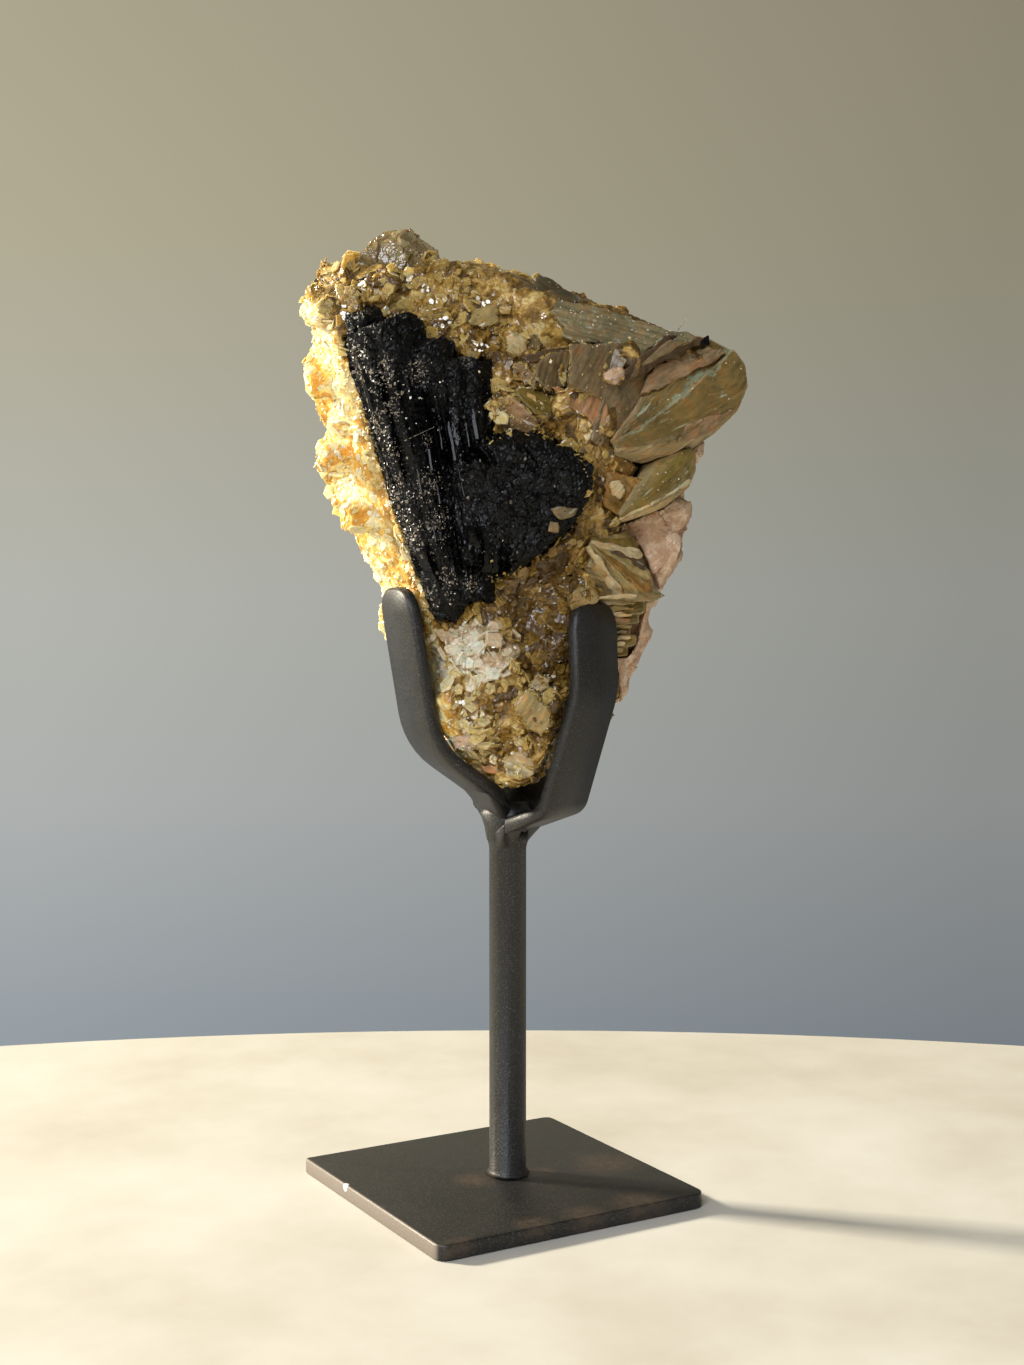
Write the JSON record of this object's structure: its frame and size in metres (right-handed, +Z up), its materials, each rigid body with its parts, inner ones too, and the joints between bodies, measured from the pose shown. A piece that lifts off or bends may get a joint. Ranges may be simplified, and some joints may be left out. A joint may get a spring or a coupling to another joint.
{
  "type": "black tourmaline with mica on a black metal stand",
  "caption": "Tapering pegmatite mass of golden mica with striated black tourmaline, mica books, feldspar and quartz, held in a welded black metal cradle stand.",
  "frame": {"origin": "middle of the square foot's underside, on the table", "axes": "+Z up along the post; X and Y along the sides of the square foot; the cradle and stone are turned -30.1 degrees about the post, so the stone's front faces the picture's camera at azimuth -30.1 degrees, towards -Y and -X"},
  "size_m": [0.1076, 0.079, 0.2442],
  "materials": {
    "black_powder_coat": "satin black powder coat on mild steel",
    "golden_mica": "glossy flakes, slightly translucent",
    "olive_mica_book": "pearly layered sheets",
    "black_tourmaline": "glassy, striated",
    "pink_feldspar": "satin cleavage faces",
    "grey_quartz": "glassy, translucent"
  },
  "bodies": {
    "root": {"base_plate": "black_powder_coat", "post": "black_powder_coat", "left_prong": "black_powder_coat", "right_prong": "black_powder_coat", "back_prong": "black_powder_coat", "mica_matrix": "golden_mica", "black_tourmaline": "black_tourmaline", "mica_book_upper": "olive_mica_book", "mica_book_middle": "olive_mica_book", "mica_book_lower": "olive_mica_book", "pink_feldspar": "pink_feldspar", "quartz_patch": "grey_quartz", "quartz_crown": "grey_quartz"}
  },
  "joints": []
}
